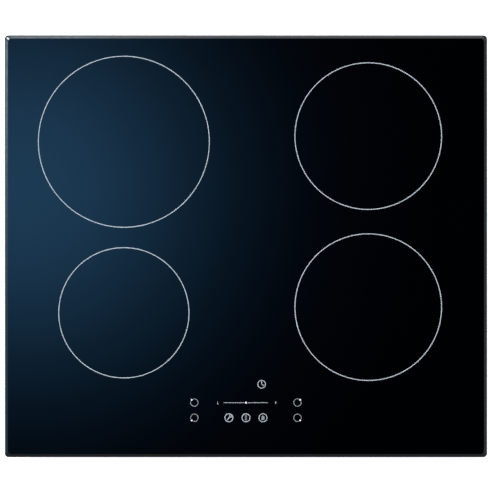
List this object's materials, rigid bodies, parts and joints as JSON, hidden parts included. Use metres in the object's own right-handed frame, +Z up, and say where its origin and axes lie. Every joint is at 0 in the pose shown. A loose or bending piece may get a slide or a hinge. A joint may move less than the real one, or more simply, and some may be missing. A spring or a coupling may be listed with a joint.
{
  "type": "induction cooktop",
  "caption": "Built-in electric induction cooktop: black bevelled glass panel with ring-marked zones and touch controls, vented steel housing below with swivelling worktop clamps.",
  "frame": {"origin": "middle of the footprint, on the plane of the stamped feet", "axes": "+X to the right and +Y to the rear as the cook stands at the controls, +Z up out of the glass"},
  "size_m": [0.59, 0.516, 0.056],
  "materials": {
    "black_glass": "polished glass-ceramic with a soft blue cast",
    "print_ink": "fired grey-white print",
    "foam": "closed-cell foam tape",
    "galvanised_steel": "zinc-coated pressed sheet",
    "aluminium": "mill finish",
    "copper_wire": "enamelled litz wire",
    "ferrite": "sintered, matte",
    "mica": "pressed mica sheet",
    "pale_plastic": "moulded",
    "black_plastic": "moulded",
    "grey_plastic": "moulded",
    "circuit_board": "solder mask",
    "silicone": "moulded silicone",
    "spring_steel": "bright zinc",
    "label_foil": "blank printed foil"
  },
  "bodies": {
    "hob_body": {"glass_panel": "black_glass", "panel_seal": "foam", "support_frame": "galvanised_steel", "bottom_housing": "galvanised_steel", "insulating_tray": "black_plastic", "power_board_left": "circuit_board", "power_board_right": "circuit_board", "heat_sink_left": "aluminium", "heat_sink_right": "aluminium", "filter_board": "circuit_board", "filter_choke": "copper_wire", "fan_housing_left": "black_plastic", "fan_housing_right": "black_plastic", "touch_board_carrier": "grey_plastic", "touch_board": "circuit_board", "terminal_box": "grey_plastic", "terminal_block": "pale_plastic", "cable_clamp": "black_plastic", "rating_plate": "label_foil", "carrier_spring_left_outer_rear": "spring_steel", "carrier_spring_left_outer_front": "spring_steel", "carrier_spring_left_inner_rear": "spring_steel", "carrier_spring_left_inner_front": "spring_steel", "carrier_spring_right_outer_rear": "spring_steel", "carrier_spring_right_outer_front": "spring_steel", "carrier_spring_right_inner_rear": "spring_steel", "carrier_spring_right_inner_front": "spring_steel", "clamp_screw_left_rear": "spring_steel", "clamp_screw_left_front": "spring_steel", "clamp_screw_right_rear": "spring_steel", "clamp_screw_right_front": "spring_steel"},
    "coil_unit_left": {"coil_carrier_left": "aluminium", "coil_winding_left_rear": "copper_wire", "coil_former_left_rear": "pale_plastic", "ferrite_set_left_rear": "ferrite", "mica_sheet_left_rear": "mica", "temperature_sensor_left_rear": "silicone", "coil_winding_left_front": "copper_wire", "coil_former_left_front": "pale_plastic", "ferrite_set_left_front": "ferrite", "mica_sheet_left_front": "mica", "temperature_sensor_left_front": "silicone"},
    "blower_left": {"fan_impeller_left": "grey_plastic"},
    "coil_unit_right": {"coil_carrier_right": "aluminium", "coil_winding_right_rear": "copper_wire", "coil_former_right_rear": "pale_plastic", "ferrite_set_right_rear": "ferrite", "mica_sheet_right_rear": "mica", "temperature_sensor_right_rear": "silicone", "coil_winding_right_front": "copper_wire", "coil_former_right_front": "pale_plastic", "ferrite_set_right_front": "ferrite", "mica_sheet_right_front": "mica", "temperature_sensor_right_front": "silicone"},
    "blower_right": {"fan_impeller_right": "grey_plastic"},
    "terminal_lid": {"terminal_cover": "grey_plastic"},
    "clamp_left_rear": {"worktop_clamp_left_rear": "galvanised_steel"},
    "clamp_left_front": {"worktop_clamp_left_front": "galvanised_steel"},
    "clamp_right_rear": {"worktop_clamp_right_rear": "galvanised_steel"},
    "clamp_right_front": {"worktop_clamp_right_front": "galvanised_steel"}
  },
  "joints": [
    {"name": "coil_float_left", "type": "slide", "parent": "hob_body", "child": "coil_unit_left", "axis": [0, 0, 1], "range_m": [-0.003, 0], "stiffness_N_per_m": 20000, "springref_m": 0.003, "deforming": ["carrier_spring_left_outer_rear", "carrier_spring_left_outer_front", "carrier_spring_left_inner_rear", "carrier_spring_left_inner_front"]},
    {"name": "coil_float_right", "type": "slide", "parent": "hob_body", "child": "coil_unit_right", "axis": [0, 0, 1], "range_m": [-0.003, 0], "stiffness_N_per_m": 20000, "springref_m": 0.003, "deforming": ["carrier_spring_right_outer_rear", "carrier_spring_right_outer_front", "carrier_spring_right_inner_rear", "carrier_spring_right_inner_front"]},
    {"name": "blower_spin_left", "type": "hinge", "parent": "hob_body", "child": "blower_left", "pos_m": [-0.146, 0.14, 0.02], "axis": [0, 0, 1], "continuous": true},
    {"name": "blower_spin_right", "type": "hinge", "parent": "hob_body", "child": "blower_right", "pos_m": [0.146, 0.14, 0.02], "axis": [0, 0, 1], "continuous": true},
    {"name": "terminal_cover_hinge", "type": "hinge", "parent": "hob_body", "child": "terminal_lid", "pos_m": [0, 0.24, 0.00425], "axis": [1, 0, 0], "range_deg": [0, 100]},
    {"name": "clamp_swivel_left_rear", "type": "hinge", "parent": "hob_body", "child": "clamp_left_rear", "pos_m": [-0.2575, 0.12, 0.019], "axis": [0, 0, -1], "range_deg": [0, 90]},
    {"name": "clamp_swivel_left_front", "type": "hinge", "parent": "hob_body", "child": "clamp_left_front", "pos_m": [-0.2575, -0.12, 0.019], "axis": [0, 0, 1], "range_deg": [0, 90]},
    {"name": "clamp_swivel_right_rear", "type": "hinge", "parent": "hob_body", "child": "clamp_right_rear", "pos_m": [0.2575, 0.12, 0.019], "axis": [0, 0, 1], "range_deg": [0, 90]},
    {"name": "clamp_swivel_right_front", "type": "hinge", "parent": "hob_body", "child": "clamp_right_front", "pos_m": [0.2575, -0.12, 0.019], "axis": [0, 0, -1], "range_deg": [0, 90]}
  ]
}
